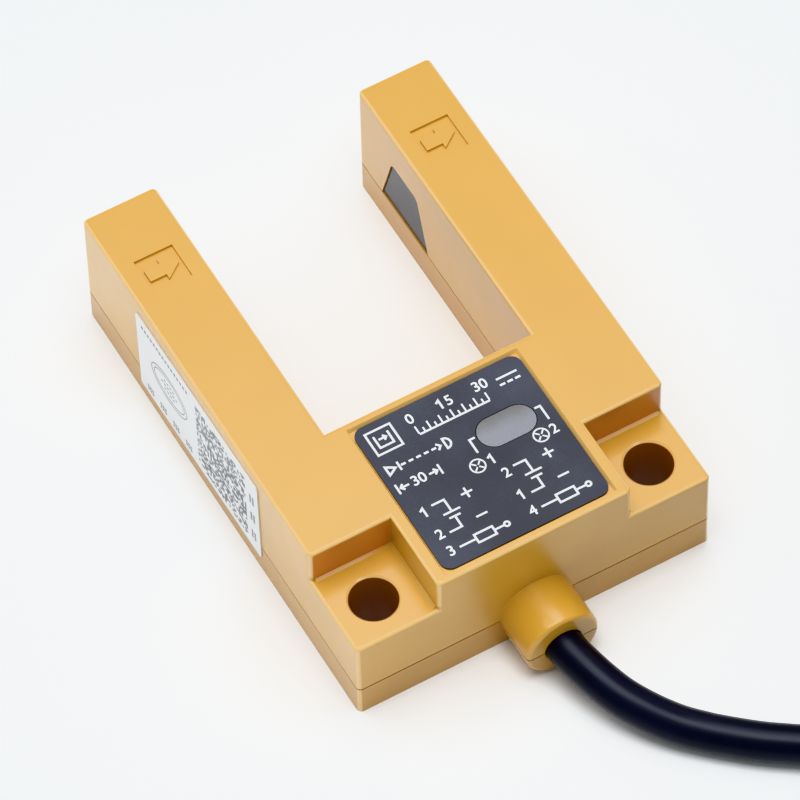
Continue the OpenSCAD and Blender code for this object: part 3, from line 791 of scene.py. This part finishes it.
def lamp_lines(u, v):
    """A lamp: a cross in a ring, with its arms apart, so that no ink lies on ink."""
    radius = 1
    inner = 0.18 * math.sqrt(0.5)
    outer = 0.86 * math.sqrt(0.5)
    arms = [
        open_line((u + x * inner, v + y * inner), (u + x * outer, v + y * outer))
        for x in (-1, 1)
        for y in (-1, 1)
    ]
    return [ring(u, v, radius, radius, 24), *arms]


def wiring_lines(u):
    """A supply between two wires, and a load on the third."""
    first, second, third = WIRE_ROWS
    half = LINE_MM / 2
    cell = u + 4
    sign = u + 7
    plates = (first + second) / 2
    gap = 0.4
    load = u + 5.9
    load_w = 2.6
    end = u + 9
    end_r = 0.35
    return [
        open_line((u + 2.2, first + 0.5), (cell, first + 0.5), (cell, plates + gap + half)),
        open_line((cell - 1.2, plates + gap), (cell + 1.2, plates + gap)),
        open_line((cell - 0.8, plates - gap), (cell + 0.8, plates - gap)),
        open_line((cell, plates - gap - half), (cell, second - 0.3), (u + 2.2, second - 0.3)),
        open_line((sign - 0.8, first), (sign + 0.8, first)),
        open_line((sign, first + half), (sign, first + 0.8)),
        open_line((sign, first - half), (sign, first - 0.8)),
        open_line((sign - 0.8, second), (sign + 0.8, second)),
        open_line((u + 2.2, third), (load - load_w / 2 - half, third)),
        frame_box(load, third, load_w, 1.3),
        open_line((load + load_w / 2 + half, third), (end - end_r - half, third)),
        ring(end, third, end_r, end_r, 14),
    ]


def print_label(ink):
    """White marks round the indicator window: pictograms, a scale and the wires by number."""
    low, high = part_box("front_label")
    middle = Vector(((low[0] + high[0]) / 2, (low[1] + high[1]) / 2, high[2]))
    place = sheet(middle, Vector((1, 0, 0)), Vector((0, 1, 0)))
    scale_v = 7.4
    beam_v = 4.6
    width_v = 1.6
    figure_v = 10
    lamp_v = -0.4
    lines = [
        *pictogram_lines(-8.9, 9),
        open_line((-4.6, scale_v), (5.6, scale_v)),
        open_line((7.8, 9.7), (10.8, 9.7)),
        *beam_lines(beam_v),
        *width_lines(width_v),
        open_line((1.1, 3.5), (0.3, 3.5), (0.3, 1.3)),
        open_line((9.8, 3.5), (10.6, 3.5), (10.6, 1.2)),
        one(-0.1, figure_v),
        one(1.4, lamp_v),
    ]
    lamps = lamp_lines(-0.7, lamp_v) + lamp_lines(8.5, lamp_v)
    figures = [
        ("0", -4.6, figure_v),
        ("5", 1.1, figure_v),
        ("30", 5.6, figure_v),
        ("30", -8.05, width_v),
        ("2", 10.4, lamp_v),
    ]
    for u, wires in WIRE_COLUMNS:
        lines += wiring_lines(u)
        for wire, v in zip(wires, WIRE_ROWS):
            if wire == "1":
                lines.append(one(u + 1, v))
            else:
                figures.append((wire, u + 1, v))
    row = row_recipe(ink)
    stroke = stroke_recipe(ink)
    thin = {"width": LINE_W, "depth": INK}
    tick = {"length": 0.22 * MM, "width": 0.6 * MM, "depth": INK}
    tick_v = scale_v + LINE_MM / 2 + 0.3
    empty = bpy.data.meshes.new("empty")
    marks = [
        stroke.make("label_lines", paths_mesh(lines), **thin),
        stroke.make("label_lamps", paths_mesh(lamps), width=FINE_W, depth=INK),
        moved(row.make("beam", empty, count=5, pitch=1.1 * MM, length=0.65 * MM, **thin), -6.4, beam_v),
        moved(row.make("dashes", empty, count=3, pitch=1.1 * MM, length=0.75 * MM, **thin), 9.3, 8.7),
        moved(row.make("ticks", empty, count=13, pitch=0.85 * MM, **tick), 0.5, tick_v),
        moved(row.make("tall_ticks", empty, count=7, pitch=1.7 * MM, **tick), 0.5, tick_v + 0.6),
        *(figure(*entry) for entry in figures),
    ]
    printed("label_print", marks, place, ink)


def print_sticker(ink):
    """Grey marks on the side sticker: a field of cells, an oval stamp and lines of small marks."""
    low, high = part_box("side_sticker")
    right = Vector((0, -math.cos(STICKER_SLANT), math.sin(STICKER_SLANT)))
    up = Vector((0, math.sin(STICKER_SLANT), math.cos(STICKER_SLANT)))
    place = sheet(Vector((low[0], (low[1] + high[1]) / 2, (low[2] + high[2]) / 2)), right, up)
    row = row_recipe(ink)
    empty = bpy.data.meshes.new("empty")

    def bars(count, pitch, length, width, u, v, turn=0):
        mesh = row.make(
            "bars", empty, count=count, pitch=pitch * MM, length=length * MM, width=width * MM, depth=INK
        )
        return moved(mesh, u, v, turn)

    def word(u, v, turn=0):
        """Two short lines of marks, one over the other."""
        apart = 0.35
        return [
            bars(3, 0.6, 0.42, 0.4, u - way * apart * math.sin(turn), v + way * apart * math.cos(turn), turn)
            for way in (-1, 1)
        ]

    stamp = (-7.6, 0.4)
    rings = [ring(*stamp, 4.7, 2.7, 40), ring(*stamp, 4.0, 2.1, 40)]
    field = cells_recipe(ink).make("field", empty, count=34, seed=7, pitch=0.38 * MM, depth=INK)
    marks = [
        moved(field, 6.2, -0.2),
        stroke_recipe(ink).make("stamp", paths_mesh(rings), width=HAIR_W, depth=INK),
        bars(16, 0.78, 0.45, 0.5, -8.4, 6.3),
    ]
    for count, v in ((4, 1.3), (6, 0.4), (4, -0.5)):
        marks.append(bars(count, 0.75, 0.45, 0.25, stamp[0], v))
    for u in (-13.2, -9.8, -6.4, -3):
        marks += word(u, -6.3)
    for v in (-4.6, -0.6, 3.4):
        marks += word(14.3, v, math.pi / 2)
    printed("sticker_print", marks, place, ink)


def softbox(name, at, aim, width, depth, power):
    """A rectangular lamp that faces a point and doesn't show in the picture itself."""
    light = bpy.data.lights.new(name, "AREA")
    light.shape = "RECTANGLE"
    light.size = width
    light.size_y = depth
    light.energy = power
    lamp = bpy.data.objects.new(name, light)
    lamp.location = at
    lamp.rotation_euler = (Vector(aim) - Vector(at)).to_track_quat("-Z", "Y").to_euler()
    lamp.visible_camera = False
    SCENE.collection.objects.link(lamp)


def make_studio():
    SCENE.view_settings.view_transform = "Khronos PBR Neutral"
    SCENE.view_settings.gamma = 0.92
    world = bpy.data.worlds.new("studio")
    SCENE.world = world
    world.use_nodes = True
    sky = world.node_tree.nodes["Background"]
    sky.inputs["Color"].default_value = rgb(0.88, 0.94, 1)
    sky.inputs["Strength"].default_value = 0.4
    middle = (0, 0.03, 0)
    softbox("overhead", (-0.05, -0.02, 0.9), middle, 0.7, 0.5, 7.1)
    softbox("back", (0.17, 0.38, 0.88), middle, 0.38, 0.28, 1.7)
    softbox("back_left", (-0.4, 0.5, 0.8), middle, 0.3, 0.3, 1.2)
    softbox("left", (-0.7, -0.1, 0.5), middle, 0.5, 0.5, 0.1)
    softbox("front_strip", (0.24, -0.75, 0.44), middle, 0.3, 0.08, 0.36)
    softbox("left_strip", (-0.68, 0.44, 0.4), middle, 0.1, 0.3, 0.35)
    softbox("right_strip", (0.58, 0.45, 0.56), middle, 0.1, 0.3, 0.35)
    floor_half = 3
    mesh = bpy.data.meshes.new("floor")
    corners = [(x, y, 0) for x, y in ((-1, -1), (1, -1), (1, 1), (-1, 1))]
    mesh.from_pydata([Vector(c) * floor_half for c in corners], [], [(0, 1, 2, 3)])
    floor = show("floor", mesh)
    floor.location.z = -0.02 * MM
    paint = Paint("floor_paper")
    fibres = paint.noise(1.5, paint.place(), 4)
    paint.colour(paint.mix(fibres, rgb(0.94, 0.95, 0.955), rgb(0.96, 0.97, 0.975)))
    paint.rough(0.6 + fibres * 0.1)
    mesh.materials.append(paint.material)


def finish_node(name, material):
    mesh = NODES[name].data
    mesh.materials.clear()
    mesh.materials.append(material)


# Colours that are used more than once or belong together
CASE_GOLD = rgb(0.605, 0.345, 0.065)
COVER_GOLD = rgb(0.53, 0.29, 0.06)
# Painted shade of the walls behind the ears
SHADED_WALL_GOLD = rgb(0.62, 0.24, 0.06)
# Painted highlight of the rounded edges
EDGE_HIGHLIGHT_GOLD = rgb(0.85, 0.58, 0.24)
# Painted shade inside the mounting holes
HOLE_SHADE_BROWN = rgb(0.37, 0.13, 0.028)
LENS_LIT = rgb(0.215, 0.22, 0.25)
LENS_DIM = rgb(0.125, 0.12, 0.115)
COOL = rgb(0.8, 0.85, 1)
EPOXY_BLACK = rgb(0.018, 0.018, 0.02)
TIN = rgb(0.72, 0.72, 0.71)
ZINC = rgb(0.62, 0.63, 0.64)
SHEATH_BLACK = rgb(0.005, 0.0045, 0.0105)
CORE_COLOURS = {
    "red": rgb(0.5, 0.02, 0.02),
    "black": rgb(0.012, 0.012, 0.013),
    "yellow": rgb(0.78, 0.5, 0.02),
    "white": rgb(0.76, 0.76, 0.74),
}

make_camera()
make_studio()
make_cable(sheath("cable_pvc", SHEATH_BLACK))
print_label(moulded("ink_white", rgb(0.8, 0.81, 0.83), 0.5, spread=0.04, grain_mm=0.2))
print_sticker(moulded("ink_grey", rgb(0.29, 0.29, 0.31), 0.55, spread=0.25, grain_mm=0.5))

pane = moulded("pane_slate", rgb(0.028, 0.03, 0.055), 0.2, Specular_IOR_Level=0.3)
zinc = metal("screw_zinc", ZINC, 0.35)
lamp_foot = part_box("led_holder")[1][2]
emitter_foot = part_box("emitter_led")[1][2] - SIDE_BODY_H
photodiode_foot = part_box("photodiode")[1][2] - SIDE_BODY_H
FINISHES = {
    "upper_case": case_plastic("case_gold", CASE_GOLD, 0.33),
    "base_cover": case_plastic("cover_gold", COVER_GOLD, 0.38),
    "front_label": moulded("label_slate", rgb(0.042, 0.045, 0.066), 0.5, spread=0.3, grain_mm=0.3),
    "indicator_window": frosted("lens_grey", "indicator_window", LENS_LIT, LENS_DIM),
    "emitter_window": pane,
    "receiver_window": pane,
    "side_sticker": moulded("paper_white", rgb(0.82, 0.82, 0.82), 0.55, spread=0.02),
    "circuit_board": solder_mask("board_green"),
    "emitter_led": lamp_epoxy("emitter_led", rgb(0.3, 0.34, 0.5), emitter_foot),
    "photodiode": lamp_epoxy("photodiode", rgb(0.02, 0.014, 0.02), photodiode_foot),
    "led_holder": moulded("holder_black", EPOXY_BLACK, 0.5, spread=0.2),
    "power_led": lamp_epoxy("power_led", rgb(0.55, 0.02, 0.02), lamp_foot),
    "switch_led": lamp_epoxy("switch_led", rgb(0.04, 0.4, 0.07), lamp_foot),
    "control_chip": package("control_chip", 0, 1),
    "voltage_regulator": package("voltage_regulator", 1, 0),
    "npn_transistor": package("npn_transistor", 0, 1),
    "pnp_transistor": package("pnp_transistor", 0, 1),
    "filter_capacitor": metal("can_aluminium", rgb(0.68, 0.68, 0.69), 0.3),
    "protection_diode": package("protection_diode", 0.45, 0),
    "chip_resistors": package("chip_resistors", 0.4, 0),
    "board_screws": zinc,
    "cover_screws": zinc,
    "cable_clamp": metal("clamp_steel", rgb(0.5, 0.5, 0.5), 0.38, (1, 6, 1)),
    "coil_ties": moulded("tie_nylon", rgb(0.7, 0.7, 0.67), 0.42, spread=0.05, grain_mm=0.4),
    "lead_tips": metal("tinned_strands", TIN, 0.3, (3, 3, 3)),
}
for core, colour in CORE_COLOURS.items():
    pvc = moulded(core + "_pvc", colour, 0.42, spread=0.08, grain_mm=0.3)
    FINISHES["core_" + core] = pvc
    FINISHES["lead_" + core] = pvc
for node, material in FINISHES.items():
    finish_node(node, material)
